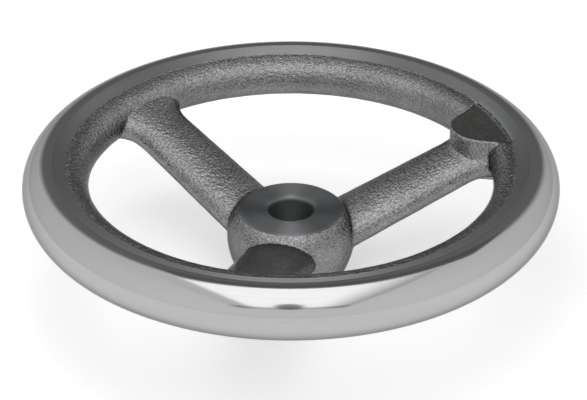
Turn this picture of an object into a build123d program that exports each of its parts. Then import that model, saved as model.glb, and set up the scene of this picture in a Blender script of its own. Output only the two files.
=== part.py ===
from build123d import *
import os
from math import cos, radians, sin

# Three-spoke machine handwheel, one iron casting, in millimetres.
# The origin is the centre of the hub's back face. +Z runs along the bore towards the front,
# and +X runs out along the spoke that carries the handle boss.

# Whole wheel
wheel_diameter = 160.0
overall_height = 45.0        # hub's back face to the rim's crest

# Rim
rim_height = 16.2            # crest to crest, front to back
rim_width = 19.6             # from the parting ridge inside to the polished crown outside
crest_width = 1.1            # flat strip between the crown and the turned land
land_width = 4.4             # turned cone inside the crest
land_drop = 1.4
bead_fullness = 0.58         # 0 is a flat bead, 1 a square one

# Hub and bore
hub_length = 25.0
hub_waist_diameter = 38.8    # widest place, where the mould halves part
hub_face_diameter = 30.8     # turned front face
hub_shoulder_diameter = 34.2
hub_shoulder_drop = 1.5
hub_foot_diameter = 29.0
hub_haunch_diameter = 34.6
hub_haunch_height = 6.5
bore_diameter = 14.0
edge_chamfer = 0.3           # both mouths of the bore and the hub's foot

# Spokes
spoke_count = 3
spoke_root_width = 21.6
spoke_root_thickness = 11.4
spoke_tip_width = 19.2
spoke_tip_thickness = 11.0
spoke_root_drop = 7.3        # mid-line below the hub's front face, at the waist
spoke_tip_drop = 2.8         # mid-line below the rim's parting ridge, at the ridge
spoke_flare_width = 4.0      # added on each side where the spoke meets the rim's parting ridge
spoke_flare_length = 7.0
spoke_sections = 14          # even steps along each spoke

# Handle boss
boss_radius = 10.0
boss_inset = 18.0            # boss centre, in from the outside of the rim
boss_flare_angle = 30.0      # spread of the boss's flanks as they run into the rim, degrees
boss_height = 13.0
pad_drop = 2.0               # flat pad below the rim's crest
pad_reach = 3.8              # the pad ends this far inside the crest, in the turned land
pad_edge_radius = 0.6        # worn edge of the pad

# Cast and worn edges
root_fillet = 1.2            # where the spokes meet the hub and the rim
boss_fillet = 1.0            # where the boss meets them

# Places worked out from the sizes above
wheel_radius = wheel_diameter / 2
crown_radius = rim_height / 2
crown_centre = wheel_radius - crown_radius
crest_inner = crown_centre - crest_width
land_inner = crest_inner - land_width
ridge_radius = wheel_radius - rim_width
ridge_z = overall_height - crown_radius
waist_radius = hub_waist_diameter / 2
waist_z = hub_length - spoke_root_drop
tip_z = ridge_z - spoke_tip_drop
boss_centre = wheel_radius - boss_inset
pad_z = overall_height - pad_drop


def turned_sector(outline):
    """One spoke's share of a turned shape, with the spoke's centre line in its middle."""
    share = 360 / spoke_count
    return Rot(0, 0, -share / 2) * revolve(Plane.XZ * make_face(outline), Axis.Z, revolution_arc=share)


def rim():
    """The rim: a round polished crown, a turned land and a cast bead that ends in a parting ridge."""
    back_z = overall_height - rim_height
    crest = (crest_inner, overall_height)
    land_end = (land_inner, overall_height - land_drop)
    ridge = (ridge_radius, ridge_z)
    back_crest = (crest_inner, back_z)

    # Each bead half is a cubic curve, level at its outer end and upright at the ridge.
    front_reach = bead_fullness * (land_inner - ridge_radius)
    back_reach = bead_fullness * (crest_inner - ridge_radius)
    front_rise = bead_fullness * (crown_radius - land_drop)
    back_rise = bead_fullness * crown_radius
    from_land = (land_end[0] - front_reach, land_end[1])
    above_ridge = (ridge_radius, ridge_z + front_rise)
    below_ridge = (ridge_radius, ridge_z - back_rise)
    from_back = (back_crest[0] - back_reach, back_z)

    outline = [
        CenterArc((crown_centre, ridge_z), crown_radius, -90, 180),
        Line((crown_centre, overall_height), crest),
        Line(crest, land_end),
        Bezier(land_end, from_land, above_ridge, ridge),
        Bezier(ridge, below_ridge, from_back, back_crest),
        Line(back_crest, (crown_centre, back_z)),
    ]
    return turned_sector(outline)


def hub():
    """The hub without its bore: turned face, rounded shoulder and a barrel side widest at its waist."""
    face_radius = hub_face_diameter / 2
    shoulder = (hub_shoulder_diameter / 2, hub_length - hub_shoulder_drop)
    waist = (waist_radius, waist_z)
    haunch = (hub_haunch_diameter / 2, hub_haunch_height)
    foot = (hub_foot_diameter / 2, edge_chamfer)
    outline = [
        Line((0, 0), (0, hub_length)),
        Line((0, hub_length), (face_radius, hub_length)),
        Spline((face_radius, hub_length), shoulder, waist, haunch, foot),
        Line(foot, (foot[0] - edge_chamfer, 0)),
        Line((foot[0] - edge_chamfer, 0), (0, 0)),
    ]
    return turned_sector(outline)


def spoke():
    """One tapered spoke along +X, from inside the hub's wall to inside the rim, flared at the rim."""
    run = ridge_radius - waist_radius
    rise = tip_z - waist_z
    slope = rise / run
    direction = Vector(run, 0, rise)

    def section(radius, extra_width=0.0):
        share = (radius - waist_radius) / run
        width = spoke_root_width + share * (spoke_tip_width - spoke_root_width) + extra_width
        thickness = spoke_root_thickness + share * (spoke_tip_thickness - spoke_root_thickness)
        middle = (radius, 0, waist_z + slope * (radius - waist_radius))
        return Plane(origin=middle, x_dir=(0, 1, 0), z_dir=direction) * Ellipse(width / 2, thickness / 2)

    inside_hub = (waist_radius + bore_diameter / 2) / 2
    inside_rim = ridge_radius + spoke_flare_length
    step = (inside_rim - inside_hub) / spoke_sections
    sections = []
    for index in range(spoke_sections + 1):
        radius = inside_hub + index * step
        along_flare = max(0, (radius - ridge_radius) / spoke_flare_length + 1)
        sections.append(section(radius, 2 * spoke_flare_width * along_flare**2))
    return loft(sections)


def boss_outline():
    """The boss from above: a round nose with flanks that spread into the rim."""
    spread = radians(boss_flare_angle)
    touch = (boss_centre - boss_radius * sin(spread), boss_radius * cos(spread))
    reach = crest_inner - touch[0]
    end = (crest_inner, touch[1] + reach * sin(spread) / cos(spread))
    nose = ThreePointArc(touch, (boss_centre - boss_radius, 0), (touch[0], -touch[1]))
    return make_face([
        nose,
        Line((touch[0], -touch[1]), (end[0], -end[1])),
        Line((end[0], -end[1]), end),
        Line(end, touch),
    ])


def handle_boss():
    """The boss for a revolving handle, with its top edges worn round."""
    block = Pos(0, 0, pad_z - boss_height) * extrude(boss_outline(), boss_height)
    return fillet(block.faces().sort_by(Axis.Z)[-1].edges(), pad_edge_radius)


def pad_clearance():
    """The cut that lets the flat pad run on through the bead to the turned land."""
    reach = crest_inner - pad_reach
    return Pos(0, 0, pad_z) * (extrude(boss_outline(), 2 * pad_drop) & Cylinder(reach, 5 * pad_drop))


def bore():
    """The bore's cut, opened by a chamfer at each mouth."""
    radius = bore_diameter / 2
    mouth = radius + edge_chamfer
    outline = Polyline(
        (0, 0), (mouth, 0), (radius, edge_chamfer), (radius, hub_length - edge_chamfer),
        (mouth, hub_length), (0, hub_length), close=True,
    )
    return revolve(Plane.XZ * make_face(outline), Axis.Z)


def cast_on(body, pieces, radius):
    """Fuse pieces to a body and round every corner where they meet it."""
    fused = body + pieces
    return fillet(new_edges(body, *pieces, combined=fused), radius)


# One third of the casting is rounded, then repeated for every spoke.
arm = cast_on(hub(), [spoke()], root_fillet)
sector = cast_on(rim(), [arm], root_fillet)
spider = sector + [Rot(0, 0, index * 360 / spoke_count) * sector for index in range(1, spoke_count)]
handwheel = cast_on(spider, [handle_boss()], boss_fillet) - pad_clearance() - bore()

os.makedirs("parts", exist_ok=True)
export_step(handwheel, "parts/handwheel.step")
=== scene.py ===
"""Machine handwheel: finishes of the one iron casting, and the studio it lies in."""

from math import cos, hypot, pi, radians, sin

import bmesh
import bpy
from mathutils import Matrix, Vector


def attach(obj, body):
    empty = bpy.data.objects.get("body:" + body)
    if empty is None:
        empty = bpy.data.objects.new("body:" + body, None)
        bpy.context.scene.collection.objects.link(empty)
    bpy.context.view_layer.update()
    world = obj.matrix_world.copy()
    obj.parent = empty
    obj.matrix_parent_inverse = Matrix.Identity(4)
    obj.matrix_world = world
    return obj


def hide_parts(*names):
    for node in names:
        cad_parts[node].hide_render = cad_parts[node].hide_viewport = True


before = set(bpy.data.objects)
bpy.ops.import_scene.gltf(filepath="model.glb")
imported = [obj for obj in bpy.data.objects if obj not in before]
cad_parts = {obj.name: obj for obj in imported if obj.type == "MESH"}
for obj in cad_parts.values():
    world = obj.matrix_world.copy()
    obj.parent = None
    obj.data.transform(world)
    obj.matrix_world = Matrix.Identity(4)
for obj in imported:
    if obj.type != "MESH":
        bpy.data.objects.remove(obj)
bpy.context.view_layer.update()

bl_info = {
    "name": "Machine handwheel",
    "version": (1, 0, 0),
    "blender": (4, 5, 0),
    "location": "View3D > Sidebar > Handwheel",
    "description": "Cast, turned and polished finishes for a handwheel, and a plain studio",
    "category": "Object",
}

MM = 0.001
NODE = "handwheel"

# The CAD model's turned surfaces, from which each face's finish is told

# Rim
WHEEL_RADIUS = 80.0 * MM
CREST_Z = 45.0 * MM
CROWN_RADIUS = 8.1 * MM
CREST_WIDTH = 1.1 * MM
LAND_WIDTH = 4.4 * MM
LAND_DROP = 1.4 * MM
CROWN_CENTRE = WHEEL_RADIUS - CROWN_RADIUS
CROWN_Z = CREST_Z - CROWN_RADIUS
CREST_INNER = CROWN_CENTRE - CREST_WIDTH
LAND_INNER = CREST_INNER - LAND_WIDTH

# Hub and bore
HUB_LENGTH = 25.0 * MM
HUB_SHOULDER_RADIUS = 17.2 * MM
HUB_SHOULDER_DROP = 1.7 * MM
HUB_FOOT_RADIUS = 14.5 * MM
BORE_RADIUS = 7.0 * MM
EDGE_CHAMFER = 0.3 * MM

# Handle boss
PAD_Z = 43.0 * MM
PAD_END = 67.0 * MM
BOSS_START = 43.4 * MM          # the pad lies farther out than this along the boss spoke

# How far a point may lie from a flat or a round turned surface and still belong to it
ON_FLAT = 0.03 * MM
ON_ROUND = 0.06 * MM

# The finishes are numbered by their places in make_materials.
RAW, CROWN, FACE, LAND, BORE, PAD = range(6)

# Mesh spacing
MERGE_DISTANCE = 0.0001 * MM
NEEDLE_WIDTH = 0.01 * MM        # faces narrower than this are taken out
REFINE_PASSES = 6
TURNED_EDGE = 2.2 * MM
CAST_EDGE = 1.25 * MM
SHARP_ANGLE = radians(40.0)

# How much of its mirror a surface keeps at a glancing angle
CAST_GRAZING = (0.4, 0.4, 0.4, 1.0)
TURNED_GRAZING = (0.5, 0.5, 0.5, 1.0)

# Turns the stretch of a brushed mirror from along the rings to across them
ACROSS_THE_RINGS = 0.25

# Cast skin: what a noise pattern mostly stays within, and what it is spread to
NOISE_RANGE = (0.3, 0.7)
PATCH_SIZE = 14.0 * MM
PATCH_TONE = (0.86, 1.1)
PATCH_ROUGHNESS = (0.2, 0.17)
SPECK_SIZE = 0.6 * MM
SPECK_TONE = (-0.24, 0.24)
PIT_FINENESS = 0.8              # of the grains' own
PIT_SHARE = 0.5                 # of the grains' height
PAD_GRAIN = 0.6                 # share of the grain's depth that is left on the boss pad

# Turning marks
RING_RANGE = (0.25, 0.75)
RING_WIDTH = 0.3 * MM
RING_CONTRAST = 0.1
RING_UNEVENNESS = 0.8           # how much the rings change on their way round

# The uneven line in which the hub's face and the land die out, and the real burrs along it,
# painted in the polished colour as a highlight they catch
FACE_RADIUS = 15.9 * MM
LAND_START = LAND_INNER + 0.4 * MM
FRAY_SIZE = 2.2 * MM
FRAY_REACH = 1.1 * MM
DRIFT_SIZE = 30.0 * MM
DRIFT_REACH = 1.6 * MM
LINE_SOFTNESS = 0.1 * MM
BURR_GLINT_SIZE = 0.9 * MM
BURR_GLINT_EDGES = (0.08 * MM, 0.22 * MM)
BURR_GLINT_GAPS = (0.48, 0.56)
BURR_GLINT_STRENGTH = 0.85

# The turned metal beside that line
CUT_ROUGHNESS = 0.42
CUT_STRETCH = 0.95
CUT_RING_DEPTH = 0.006 * MM
CUT_LEVEL = 0.25 * MM           # its height among the skin's grains

# Room: directions as azimuth from the view's right and elevation, in degrees.
# A spread goes from how nearly a direction points there to a brightness.
FAR_WALL = (90, -10)
WALL_SPREAD = (-0.6, 1.0, 1.0, 0.76)
HIGH_SPOT = (90, 70)
SPOT_SPREAD = (0.975, 0.99, 0.0, 3.5)
DARK_PANEL = (87, 30)
PANEL_SPREAD = (0.87, 0.94, 1.0, 0.27)

# Softbox and flag, in metres across and along the view from the bore's axis: their left, right,
# near and far edges, and the places between which a brightness changes, with its two values
CARD_HEIGHT = 0.21
SOFTBOX_EDGES = (-0.11, 0.11, -0.305, 0.02)
LEFT_FRAME = (-0.074, -0.067, 0.45, 1.0)
RIGHT_FALLOFF = (0.045, 0.1, 1.0, 0.35)
NEAR_FRAME = (-0.256, -0.254, 0.42, 1.0)
LENS_SQUEEZE = (1.0, 0.35, 0.0)
LENS_CENTRE = (-0.002, -0.087, 0.0)
LENS_RIM = (0.02, 0.026, 0.2, 1.0)
FLAG_EDGES = (-0.07, 0.14, 0.04, 0.13)
FLAG_LIGHT = 0.14

FLOOR_SIZE = 12.0
WHITE = (1.0, 1.0, 1.0, 1.0)
SENSOR_WIDTH = 36.0             # in millimetres, as a camera's data wants it


# ---------------------------------------------------------------- properties


def colour_property(name, description, default):
    """A colour that a user can change."""
    return bpy.props.FloatVectorProperty(
        name=name, description=description, subtype="COLOR", size=3, min=0, max=1, default=default,
    )


def length_property(name, description, default, lowest=0.0):
    """A length that a user can change."""
    return bpy.props.FloatProperty(
        name=name, description=description, unit="LENGTH", default=default, min=lowest,
    )


class HANDWHEEL_PG_casting(bpy.types.PropertyGroup):
    """Colours and skin of the casting."""

    cast_colour: colour_property(
        "Cast skin", "Reflection colour of the raw casting", (0.265, 0.265, 0.263))
    polish_colour: colour_property(
        "Polished iron", "Reflection colour of the polished crown", (0.46, 0.465, 0.46))
    turned_colour: colour_property(
        "Turned iron", "Reflection colour of the turned land and the bore", (0.31, 0.316, 0.318))
    face_colour: colour_property(
        "Hub face", "Reflection colour of the hub's turned ends", (0.22, 0.226, 0.236))
    pad_colour: colour_property(
        "Boss pad", "Reflection colour of the flat pad", (0.16, 0.163, 0.156))
    wave_size: length_property(
        "Wave size", "Width of the slow waves in the cast skin", 7.0 * MM, 1.0 * MM)
    wave_depth: length_property("Wave depth", "Height of the slow waves", 0.16 * MM)
    peel_size: length_property(
        "Peel size", "Width of the moulding sand's print", 1.6 * MM, 0.5 * MM)
    peel_depth: length_property("Peel depth", "Height of the moulding sand's print", 0.14 * MM)
    grain_size: length_property(
        "Grain size", "Width of one grain in the cast skin", 0.75 * MM, 0.1 * MM)
    grain_depth: length_property("Grain depth", "Height of one grain", 0.36 * MM)


class HANDWHEEL_PG_stage(bpy.types.PropertyGroup):
    """Camera and light."""

    camera_place: bpy.props.FloatVectorProperty(
        name="Camera place", description="Where the lens stands", subtype="TRANSLATION",
        unit="LENGTH", size=3, default=(-0.15390, -0.46696, 0.32348),
    )
    camera_elevation: bpy.props.FloatProperty(
        name="Camera elevation", description="How steeply the view looks down", subtype="ANGLE",
        default=radians(31.0),
    )
    camera_azimuth: bpy.props.FloatProperty(
        name="Camera azimuth", description="Turn of the view about the bore, 0 along +Y",
        subtype="ANGLE", default=radians(-18.33),
    )
    lens: bpy.props.FloatProperty(
        name="Lens", description="Focal length on a 36 mm frame", default=116.52, min=20,
    )
    studio_light: bpy.props.FloatProperty(
        name="Studio light", description="Brightness of the room around the wheel",
        default=1.0, min=0,
    )
    overhead_light: bpy.props.FloatProperty(
        name="Overhead light", description="Brightness of the softbox overhead",
        default=1.92, min=0,
    )
    floor_colour: colour_property("Floor", "Colour of the floor", (0.7, 0.7, 0.7))
    floor_glow: bpy.props.FloatProperty(
        name="Floor glow", description="Added to the floor for the eye alone, so it looks white",
        default=0.46, min=0,
    )
    floor_shine: bpy.props.FloatProperty(
        name="Floor shine", description="Added to the floor where metal mirrors it",
        default=0.38, min=0,
    )


# ---------------------------------------------------------------- node helpers


def node(tree, kind, inputs=None, **settings):
    """A new node, with its settings and its inputs set by name or by number."""
    made = tree.nodes.new(kind)
    for name, value in settings.items():
        setattr(made, name, value)
    for name, value in (inputs or {}).items():
        socket = made.inputs[name]
        if isinstance(value, bpy.types.NodeSocket):
            tree.links.new(value, socket)
        else:
            socket.default_value = value
    return made


def maths(tree, operation, *values):
    """The output of a Math node."""
    return node(tree, "ShaderNodeMath", dict(enumerate(values)), operation=operation).outputs[0]


def vector_maths(tree, operation, first, second, output="Vector"):
    """An output of a Vector Math node."""
    inputs = {0: first, 1: second}
    return node(tree, "ShaderNodeVectorMath", inputs, operation=operation).outputs[output]


def spread(tree, value, low, high, to_low=0.0, to_high=1.0):
    """value mapped from low..high to to_low..to_high, held at the ends."""
    inputs = {"Value": value, "From Min": low, "From Max": high,
              "To Min": to_low, "To Max": to_high}
    return node(tree, "ShaderNodeMapRange", inputs, clamp=True).outputs["Result"]


def noise(tree, where, scale, detail=2.0, roughness=0.5, distortion=0.0):
    """A noise value with about scale patches to the metre."""
    inputs = {"Vector": where, "Scale": scale, "Detail": detail, "Roughness": roughness,
              "Distortion": distortion}
    return node(tree, "ShaderNodeTexNoise", inputs).outputs[0]


def mixed(tree, factor, first, second, blend_type="MIX"):
    """Two colours mixed."""
    return node(tree, "ShaderNodeMix", {0: factor, 6: first, 7: second},
                data_type="RGBA", blend_type=blend_type).outputs[2]


def blended(tree, factor, first, second):
    """Two numbers mixed."""
    inputs = {0: factor, 2: first, 3: second}
    return node(tree, "ShaderNodeMix", inputs, data_type="FLOAT").outputs[0]


def new_group(name, inputs, outputs):
    """A shader node group with number sockets, and its two end nodes."""
    group = bpy.data.node_groups.new(name, "ShaderNodeTree")
    for socket, value in inputs.items():
        made = group.interface.new_socket(socket, in_out="INPUT", socket_type="NodeSocketFloat")
        made.default_value = value
    for socket in outputs:
        group.interface.new_socket(socket, in_out="OUTPUT", socket_type="NodeSocketFloat")
    return group, group.nodes.new("NodeGroupInput"), group.nodes.new("NodeGroupOutput")


def place_on(tree):
    """The place of each point of a surface, whole and in its three parts."""
    where = node(tree, "ShaderNodeTexCoord").outputs["Object"]
    return where, node(tree, "ShaderNodeSeparateXYZ", {0: where}).outputs


def from_bore(tree, parts):
    """The distance from the bore's axis."""
    squares = [maths(tree, "MULTIPLY", part, part) for part in (parts[0], parts[1])]
    return maths(tree, "SQRT", maths(tree, "ADD", *squares))


# ---------------------------------------------------------------- shared effects


def cast_skin_group(look):
    """Raw cast iron: a sand print with sparkling grains and slow dark and light patches."""
    group, given, made = new_group(
        "cast skin", {"Grain Size": look.grain_size}, ("Tone", "Roughness", "Height"))
    where, _ = place_on(group)
    fineness = maths(group, "DIVIDE", 1.0, given.outputs["Grain Size"])
    grains = noise(group, where, fineness, detail=2.0, roughness=0.6, distortion=0.3)
    pit_scale = maths(group, "MULTIPLY", fineness, PIT_FINENESS)
    pits = node(group, "ShaderNodeTexVoronoi", {"Vector": where, "Scale": pit_scale},
                feature="SMOOTH_F1").outputs["Distance"]
    patches = noise(group, where, 1 / PATCH_SIZE, detail=4.0, roughness=0.6)
    specks = noise(group, where, 1 / SPECK_SIZE, detail=1.0)
    tone = maths(group, "ADD", spread(group, patches, *NOISE_RANGE, *PATCH_TONE),
                 spread(group, specks, *NOISE_RANGE, *SPECK_TONE))
    roughness = spread(group, patches, *NOISE_RANGE, *PATCH_ROUGHNESS)
    height = maths(group, "ADD", grains, maths(group, "MULTIPLY", pits, PIT_SHARE))
    group.links.new(tone, made.inputs["Tone"])
    group.links.new(roughness, made.inputs["Roughness"])
    group.links.new(height, made.inputs["Height"])
    return group


def turning_group():
    """Turned or ground iron: fine rings about the bore, some deeper than others."""
    group, given, made = new_group(
        "turning marks", {"Ring Width": RING_WIDTH, "Along Bore": 1.0, "Contrast": RING_CONTRAST},
        ("Tone", "Height"))
    _, parts = place_on(group)
    turn = maths(group, "ARCTAN2", parts[1], parts[0])
    # The rings follow one another outwards on a face, and along the bore on a wall.
    along_bore = maths(group, "MULTIPLY", parts[2], given.outputs["Along Bore"])
    across = maths(group, "ADD", from_bore(group, parts), along_bore)
    place = node(group, "ShaderNodeCombineXYZ", {
        0: maths(group, "DIVIDE", across, given.outputs["Ring Width"]),
        1: maths(group, "MULTIPLY", maths(group, "SINE", turn), RING_UNEVENNESS),
        2: maths(group, "MULTIPLY", maths(group, "COSINE", turn), RING_UNEVENNESS),
    }).outputs[0]
    rings = noise(group, place, 1.0, detail=3.0, roughness=0.7)
    uneven = maths(group, "MULTIPLY", spread(group, rings, *RING_RANGE, -1.0, 1.0),
                   given.outputs["Contrast"])
    group.links.new(maths(group, "ADD", uneven, 1.0), made.inputs["Tone"])
    group.links.new(rings, made.inputs["Height"])
    return group


# ---------------------------------------------------------------- materials


def with_alpha(colour):
    """A colour property as a shader socket wants it."""
    return (*colour, 1.0)


def new_metal(name, grazing):
    """A metal, its tree and its Principled shader."""
    material = bpy.data.materials.new(name)
    material.use_nodes = True
    tree = material.node_tree
    shader = tree.nodes["Principled BSDF"]
    shader.inputs["Metallic"].default_value = 1.0
    shader.inputs["Specular Tint"].default_value = grazing
    return material, tree, shader


def toned(tree, colour, tone):
    """A colour made darker or lighter by a tone around 1."""
    grey = node(tree, "ShaderNodeCombineXYZ", {0: tone, 1: tone, 2: tone}).outputs[0]
    return mixed(tree, 1.0, with_alpha(colour), grey, blend_type="MULTIPLY")


def raise_by(tree, shader, height, depth=1.0):
    """Raises a shader's surface by a height pattern of some depth."""
    bump = node(tree, "ShaderNodeBump", {"Strength": 1.0, "Distance": depth, "Height": height})
    tree.links.new(bump.outputs[0], shader.inputs["Normal"])


def stretch_mirror(tree, shader, amount):
    """Stretches a shader's mirror across the fine rings that turning leaves."""
    shader.inputs["Anisotropic"].default_value = amount
    shader.inputs["Anisotropic Rotation"].default_value = ACROSS_THE_RINGS
    around = node(tree, "ShaderNodeTangent", direction_type="RADIAL", axis="Z").outputs[0]
    tree.links.new(around, shader.inputs["Tangent"])


def cast(name, look, skin, colour, depth, roughness=None):
    """A surface as it left the mould, or one dressed smooth, with a roughness of its own."""
    material, tree, shader = new_metal(name, CAST_GRAZING)
    effect = node(tree, "ShaderNodeGroup", {"Grain Size": look.grain_size}, node_tree=skin).outputs
    tree.links.new(toned(tree, colour, effect["Tone"]), shader.inputs["Base Color"])
    if roughness is None:
        tree.links.new(effect["Roughness"], shader.inputs["Roughness"])
    else:
        shader.inputs["Roughness"].default_value = roughness
    raise_by(tree, shader, effect["Height"], depth)
    return material


def turned(name, marks, colour, roughness, stretch, depth,
           ring_width=RING_WIDTH, along_bore=1.0, contrast=RING_CONTRAST):
    """A surface turned about the bore."""
    material, tree, shader = new_metal(name, TURNED_GRAZING)
    inputs = {"Ring Width": ring_width, "Along Bore": along_bore, "Contrast": contrast}
    effect = node(tree, "ShaderNodeGroup", inputs, node_tree=marks).outputs
    tree.links.new(toned(tree, colour, effect["Tone"]), shader.inputs["Base Color"])
    shader.inputs["Roughness"].default_value = roughness
    stretch_mirror(tree, shader, stretch)
    raise_by(tree, shader, effect["Height"], depth)
    return material


def past_uneven_line(tree, where, parts, line_radius):
    """How far each point lies outside a line that wanders about a radius."""
    fray = noise(tree, where, 1 / FRAY_SIZE, detail=3.0, roughness=0.6)
    drift = noise(tree, where, 1 / DRIFT_SIZE, detail=1.0)
    wander = maths(tree, "ADD", maths(tree, "MULTIPLY", fray, FRAY_REACH),
                   maths(tree, "MULTIPLY", drift, DRIFT_REACH))
    middle = line_radius - (FRAY_REACH + DRIFT_REACH) / 2
    return maths(tree, "SUBTRACT", from_bore(tree, parts), maths(tree, "ADD", wander, middle))


def turned_into_skin(name, look, marks, skin, metal, line_radius, outside):
    """A surface turned on one side of an uneven line, and raw where the skin dips on the other,
    with burrs along the line painted lighter as a highlight.
    """
    material, tree, shader = new_metal(name, TURNED_GRAZING)
    rings = node(tree, "ShaderNodeGroup", {
        "Ring Width": RING_WIDTH, "Along Bore": 1.0, "Contrast": RING_CONTRAST,
    }, node_tree=marks).outputs
    raw = node(tree, "ShaderNodeGroup", {"Grain Size": look.grain_size}, node_tree=skin).outputs
    where, parts = place_on(tree)
    past_line = past_uneven_line(tree, where, parts, line_radius)
    ends = (0.0, 1.0) if outside else (1.0, 0.0)
    cut = spread(tree, past_line, -LINE_SOFTNESS, LINE_SOFTNESS, *ends)
    colour = mixed(tree, cut, toned(tree, look.cast_colour, raw["Tone"]),
                   toned(tree, metal, rings["Tone"]))
    # Painted highlight on the burrs: in broken dashes along the line, the colour is mixed towards
    # the polished colour.
    burr_glint = maths(
        tree, "MULTIPLY",
        spread(tree, maths(tree, "ABSOLUTE", past_line), *BURR_GLINT_EDGES, 1.0, 0.0),
        spread(tree, noise(tree, where, 1 / BURR_GLINT_SIZE), *BURR_GLINT_GAPS, 0.0, BURR_GLINT_STRENGTH),
    )
    colour = mixed(tree, burr_glint, colour, with_alpha(look.polish_colour))
    roughness = blended(tree, cut, raw["Roughness"], CUT_ROUGHNESS)
    tree.links.new(colour, shader.inputs["Base Color"])
    tree.links.new(roughness, shader.inputs["Roughness"])
    stretch_mirror(tree, shader, CUT_STRETCH)
    grains = maths(tree, "MULTIPLY", raw["Height"], look.grain_depth)
    lines = maths(tree, "ADD", maths(tree, "MULTIPLY", rings["Height"], CUT_RING_DEPTH),
                  CUT_LEVEL)
    raise_by(tree, shader, blended(tree, cut, grains, lines))
    return material


def make_materials(look):
    """One material for each finish, in the order of their numbers."""
    skin = cast_skin_group(look)
    marks = turning_group()
    return [
        cast("raw_casting", look, skin, look.cast_colour, look.grain_depth),
        turned("polished_crown", marks, look.polish_colour, roughness=0.12, stretch=0.3,
               depth=0.001 * MM, ring_width=0.25 * MM, along_bore=0.8, contrast=0.03),
        turned_into_skin("turned_face", look, marks, skin, look.face_colour,
                         line_radius=FACE_RADIUS, outside=False),
        turned_into_skin("turned_land", look, marks, skin, look.turned_colour,
                         line_radius=LAND_START, outside=True),
        turned("bored_wall", marks, look.turned_colour, roughness=0.4, stretch=0.4,
               depth=0.01 * MM),
        cast("boss_pad", look, skin, look.pad_colour, PAD_GRAIN * look.grain_depth,
             roughness=0.45),
    ]


# ---------------------------------------------------------------- the casting


def finish_at(point):
    """The number of the finish at a point, from its distance to each turned surface."""
    radius = hypot(point.x, point.y)
    if abs(radius - BORE_RADIUS) < ON_FLAT:
        return BORE
    if radius < HUB_SHOULDER_RADIUS and point.z > HUB_LENGTH - HUB_SHOULDER_DROP:
        return FACE
    if radius < HUB_FOOT_RADIUS + ON_FLAT and point.z < EDGE_CHAMFER + ON_FLAT:
        return FACE
    if radius > CREST_INNER - ON_FLAT:
        from_crown = hypot(radius - CROWN_CENTRE, point.z - CROWN_Z) - CROWN_RADIUS
        if radius > CROWN_CENTRE and abs(from_crown) < ON_ROUND:
            return CROWN
        if point.z > CREST_Z - ON_FLAT:
            return CROWN
    if radius > LAND_INNER - ON_FLAT:
        cone_z = CREST_Z - LAND_DROP * (CREST_INNER - radius) / LAND_WIDTH
        if abs(point.z - cone_z) < ON_ROUND:
            return LAND
    if abs(point.z - PAD_Z) < ON_FLAT and radius < PAD_END + ON_FLAT and point.x > BOSS_START:
        return PAD
    return RAW


def into_triangles(mesh):
    """Cuts every larger face across its shortest way."""
    larger = [face for face in mesh.faces if len(face.verts) > 3]
    bmesh.ops.triangulate(mesh, faces=larger, quad_method="SHORT_EDGE", ngon_method="EAR_CLIP")


def dissolve_needles(mesh):
    """Takes out faces with next to no width."""
    bmesh.ops.dissolve_degenerate(mesh, dist=NEEDLE_WIDTH, edges=mesh.edges)
    into_triangles(mesh)


def too_long(edge):
    """Tells whether an edge is longer than its finish allows."""
    middle = (edge.verts[0].co + edge.verts[1].co) / 2
    return edge.calc_length() > (CAST_EDGE if finish_at(middle) == RAW else TURNED_EDGE)


def refine(mesh):
    """Splits long edges until the skin is fine enough to carry its waves."""
    dissolve_needles(mesh)
    for _ in range(REFINE_PASSES):
        long_edges = [edge for edge in mesh.edges if too_long(edge)]
        if not long_edges:
            break
        bmesh.ops.subdivide_edges(
            mesh, edges=long_edges, cuts=1, use_grid_fill=True, use_single_edge=True)
        into_triangles(mesh)
    dissolve_needles(mesh)


def seat_on_crown(vertex):
    """Moves a corner of the polished crown onto its true circle."""
    radius = hypot(vertex.co.x, vertex.co.y)
    away = Vector((radius - CROWN_CENTRE, vertex.co.z - CROWN_Z))
    if away.x < 0:
        return
    away *= CROWN_RADIUS / away.length
    stretch = (CROWN_CENTRE + away.x) / radius
    vertex.co = Vector((vertex.co.x * stretch, vertex.co.y * stretch, CROWN_Z + away.y))


def finished_mesh():
    """The CAD model's shape in finer faces, each with its finish, and the raw corners marked."""
    mesh = bmesh.new()
    mesh.from_mesh(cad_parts[NODE].data)
    bmesh.ops.remove_doubles(mesh, verts=mesh.verts, dist=MERGE_DISTANCE)
    refine(mesh)
    for vertex in mesh.verts:
        if finish_at(vertex.co) == CROWN:
            seat_on_crown(vertex)
    raw = mesh.verts.layers.float.new("raw")
    for face in mesh.faces:
        face.smooth = True
        face.material_index = finish_at(face.calc_center_median())
    for vertex in mesh.verts:
        vertex[raw] = float(all(face.material_index == RAW for face in vertex.link_faces))
    body = bpy.data.meshes.new("handwheel_casting")
    mesh.to_mesh(body)
    mesh.free()
    return body


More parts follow.
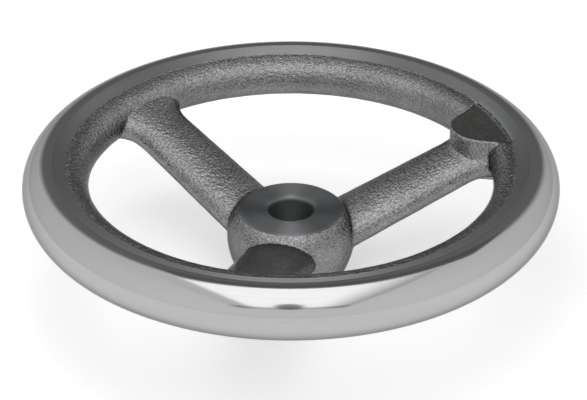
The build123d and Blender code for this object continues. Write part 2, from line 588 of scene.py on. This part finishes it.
def skin_tree(sizes):
    """Geometry nodes that raise the raw skin along its normals, by waves and a sand print."""
    tree = bpy.data.node_groups.new("cast skin waves", "GeometryNodeTree")
    tree.interface.new_socket("Geometry", in_out="INPUT", socket_type="NodeSocketGeometry")
    for name, value in sizes.items():
        socket = tree.interface.new_socket(name, in_out="INPUT", socket_type="NodeSocketFloat")
        socket.default_value = value
    tree.interface.new_socket("Skin", in_out="INPUT", socket_type="NodeSocketMaterial")
    tree.interface.new_socket("Geometry", in_out="OUTPUT", socket_type="NodeSocketGeometry")
    given = tree.nodes.new("NodeGroupInput").outputs
    made = tree.nodes.new("NodeGroupOutput")
    where = node(tree, "GeometryNodeInputPosition").outputs[0]
    heights = []
    for size, depth in (("Wave Size", "Wave Depth"), ("Peel Size", "Peel Depth")):
        value = noise(tree, where, maths(tree, "DIVIDE", 1.0, given[size]), detail=1.0)
        around_zero = maths(tree, "SUBTRACT", value, 0.5)
        heights.append(maths(tree, "MULTIPLY", around_zero, given[depth]))
    raw = node(tree, "GeometryNodeInputNamedAttribute", {"Name": "raw"}, data_type="FLOAT")
    height = maths(tree, "MULTIPLY", maths(tree, "ADD", *heights), raw.outputs["Attribute"])
    normal = node(tree, "GeometryNodeInputNormal").outputs[0]
    offset = node(tree, "ShaderNodeVectorMath", {0: normal, "Scale": height}, operation="SCALE")
    moved = node(tree, "GeometryNodeSetPosition", {
        "Geometry": given["Geometry"], "Offset": offset.outputs[0],
    })
    whole = node(tree, "GeometryNodeRealizeInstances", {"Geometry": moved.outputs[0]})
    finish = node(tree, "GeometryNodeInputMaterialIndex").outputs[0]
    is_raw = node(tree, "FunctionNodeCompare", {2: finish, 3: RAW},
                  data_type="INT", operation="EQUAL")
    painted = node(tree, "GeometryNodeSetMaterial", {
        "Geometry": whole.outputs[0], "Selection": is_raw.outputs[0], "Material": given["Skin"],
    })
    tree.links.new(painted.outputs[0], made.inputs["Geometry"])
    return tree


def input_name(tree, name):
    """The identifier of a tree's input socket."""
    return next(item.identifier for item in tree.interface.items_tree
                if item.item_type == "SOCKET" and item.in_out == "INPUT" and item.name == name)


def with_raised_skin(casting, look, context):
    """A plain mesh of the casting with its raw skin raised."""
    sizes = {"Wave Size": look.wave_size, "Wave Depth": look.wave_depth,
             "Peel Size": look.peel_size, "Peel Depth": look.peel_depth}
    tree = skin_tree(sizes)
    modifier = casting.modifiers.new("skin", "NODES")
    modifier.node_group = tree
    for name, value in {**sizes, "Skin": casting.data.materials[RAW]}.items():
        modifier[input_name(tree, name)] = value
    shaped = bpy.data.meshes.new_from_object(
        casting.evaluated_get(context.evaluated_depsgraph_get()))
    casting.modifiers.clear()
    return shaped


class HANDWHEEL_OT_casting(bpy.types.Operator):
    """Dress the casting: a finer skin over the same shape, with a finish for each surface"""

    bl_idname = "handwheel.casting"
    bl_label = "Casting"

    def execute(self, context):
        look = context.scene.handwheel_casting
        body = finished_mesh()
        casting = bpy.data.objects.new("handwheel_casting", body)
        context.scene.collection.objects.link(casting)
        for material in make_materials(look):
            body.materials.append(material)
        body.set_sharp_from_angle(angle=SHARP_ANGLE)
        casting.data = with_raised_skin(casting, look, context)

        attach(casting, "root")
        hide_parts(NODE)
        return {"FINISHED"}


# ---------------------------------------------------------------- the stage


def empty_material(name):
    """A material with nothing in its tree yet, and that tree."""
    material = bpy.data.materials.new(name)
    material.use_nodes = True
    material.node_tree.nodes.clear()
    return material, material.node_tree


def make_floor(stage):
    """A pale floor that stays white around the wheel and keeps its shadow."""
    bpy.ops.mesh.primitive_plane_add(size=FLOOR_SIZE)
    floor = bpy.context.object
    floor.name = "floor"
    material, tree = empty_material("floor")
    floor.data.materials.append(material)
    diffuse = node(tree, "ShaderNodeBsdfDiffuse", {"Color": with_alpha(stage.floor_colour)})
    rays = node(tree, "ShaderNodeLightPath").outputs
    mirrored = maths(tree, "MAXIMUM", rays["Is Glossy Ray"], rays["Is Transmission Ray"])
    glow = maths(tree, "MULTIPLY", rays["Is Camera Ray"], stage.floor_glow)
    shine = maths(tree, "MULTIPLY", mirrored, stage.floor_shine)
    added = node(tree, "ShaderNodeEmission", {"Strength": maths(tree, "ADD", glow, shine)})
    both = node(tree, "ShaderNodeAddShader", {0: diffuse.outputs[0], 1: added.outputs[0]})
    node(tree, "ShaderNodeOutputMaterial", {"Surface": both.outputs[0]})


def make_room(stage):
    """The room's light: greyer behind, with a bright spot high there and a dark panel below it."""
    world = bpy.data.worlds.new("studio")
    bpy.context.scene.world = world
    world.use_nodes = True
    tree = world.node_tree
    tree.nodes.clear()
    way = node(tree, "ShaderNodeTexCoord").outputs["Generated"]

    def towards(azimuth, elevation):
        """How nearly a direction points to a place in the room, seen from the wheel."""
        turn, rise = radians(azimuth) + stage.camera_azimuth, radians(elevation)
        place = (cos(turn) * cos(rise), sin(turn) * cos(rise), sin(rise))
        return vector_maths(tree, "DOT_PRODUCT", way, place, "Value")

    walls = maths(tree, "ADD", spread(tree, towards(*FAR_WALL), *WALL_SPREAD),
                  spread(tree, towards(*HIGH_SPOT), *SPOT_SPREAD))
    lit = maths(tree, "MULTIPLY", walls, spread(tree, towards(*DARK_PANEL), *PANEL_SPREAD))
    strength = maths(tree, "MULTIPLY", lit, stage.studio_light)
    room = node(tree, "ShaderNodeBackground", {"Color": WHITE, "Strength": strength})
    backdrop = node(tree, "ShaderNodeBackground", {"Color": WHITE, "Strength": 1.0})
    seen = node(tree, "ShaderNodeLightPath").outputs["Is Camera Ray"]
    either = node(tree, "ShaderNodeMixShader", {
        0: seen, 1: room.outputs[0], 2: backdrop.outputs[0],
    })
    node(tree, "ShaderNodeOutputWorld", {"Surface": either.outputs[0]})


def make_card(stage, name, left, right, near, far):
    """A level card above the wheel, square to the view and unseen by the camera, and its tree."""
    corners = [(left, near), (right, near), (right, far), (left, far)]
    mesh = bpy.data.meshes.new(name)
    mesh.from_pydata([(*corner, CARD_HEIGHT) for corner in corners], [], [(3, 2, 1, 0)])
    card = bpy.data.objects.new(name, mesh)
    card.rotation_euler = (0.0, 0.0, stage.camera_azimuth)
    card.visible_camera = False
    bpy.context.scene.collection.objects.link(card)
    material, tree = empty_material(name)
    mesh.materials.append(material)
    return tree


def light_card(tree, strength):
    """Makes a card's tree give light."""
    glow = node(tree, "ShaderNodeEmission", {"Strength": strength})
    node(tree, "ShaderNodeOutputMaterial", {"Surface": glow.outputs[0]})


def make_softbox(stage):
    """The softbox overhead, with a darker frame, a right side that fades and a dark lens."""
    tree = make_card(stage, "softbox", *SOFTBOX_EDGES)
    place, parts = place_on(tree)
    across, along = parts[0], parts[1]
    sides = maths(tree, "MULTIPLY", spread(tree, across, *LEFT_FRAME),
                  spread(tree, across, *RIGHT_FALLOFF))
    cloth = maths(tree, "MULTIPLY", sides, spread(tree, along, *NEAR_FRAME))
    squeezed = vector_maths(tree, "MULTIPLY", place, LENS_SQUEEZE)
    from_lens = vector_maths(tree, "DISTANCE", squeezed, LENS_CENTRE, "Value")
    bright = maths(tree, "MULTIPLY", cloth, spread(tree, from_lens, *LENS_RIM))
    light_card(tree, maths(tree, "MULTIPLY", bright, stage.overhead_light))


def make_camera(stage):
    """The camera, aimed across the wheel."""
    data = bpy.data.cameras.new("camera")
    data.lens = stage.lens
    data.sensor_width = SENSOR_WIDTH
    camera = bpy.data.objects.new("camera", data)
    bpy.context.scene.collection.objects.link(camera)
    camera.location = stage.camera_place
    camera.rotation_euler = (pi / 2 - stage.camera_elevation, 0.0, stage.camera_azimuth)
    bpy.context.scene.camera = camera


class HANDWHEEL_OT_stage(bpy.types.Operator):
    """Set up the pale floor, the soft studio light and the camera"""

    bl_idname = "handwheel.stage"
    bl_label = "Stage"

    def execute(self, context):
        stage = context.scene.handwheel_stage
        make_floor(stage)
        make_room(stage)
        make_softbox(stage)
        light_card(make_card(stage, "flag", *FLAG_EDGES), FLAG_LIGHT)
        make_camera(stage)
        context.scene.view_settings.view_transform = "Standard"
        return {"FINISHED"}


class HANDWHEEL_PT_panel(bpy.types.Panel):
    """The handwheel's steps and settings"""

    bl_idname = "HANDWHEEL_PT_panel"
    bl_label = "Handwheel"
    bl_space_type = "VIEW_3D"
    bl_region_type = "UI"
    bl_category = "Handwheel"

    def draw(self, context):
        for step, settings in (("handwheel.casting", context.scene.handwheel_casting),
                               ("handwheel.stage", context.scene.handwheel_stage)):
            box = self.layout.box()
            box.operator(step)
            for name in settings.__annotations__:
                box.prop(settings, name)


CLASSES = (
    HANDWHEEL_PG_casting, HANDWHEEL_PG_stage,
    HANDWHEEL_OT_casting, HANDWHEEL_OT_stage, HANDWHEEL_PT_panel,
)


def register():
    """Adds the classes and the settings."""
    for item in CLASSES:
        bpy.utils.register_class(item)
    bpy.types.Scene.handwheel_casting = bpy.props.PointerProperty(type=HANDWHEEL_PG_casting)
    bpy.types.Scene.handwheel_stage = bpy.props.PointerProperty(type=HANDWHEEL_PG_stage)


def unregister():
    """Takes them away again."""
    del bpy.types.Scene.handwheel_stage
    del bpy.types.Scene.handwheel_casting
    for item in reversed(CLASSES):
        bpy.utils.unregister_class(item)


def main():
    register()
    bpy.ops.handwheel.casting()
    bpy.ops.handwheel.stage()


if __name__ == "__main__":
    main()
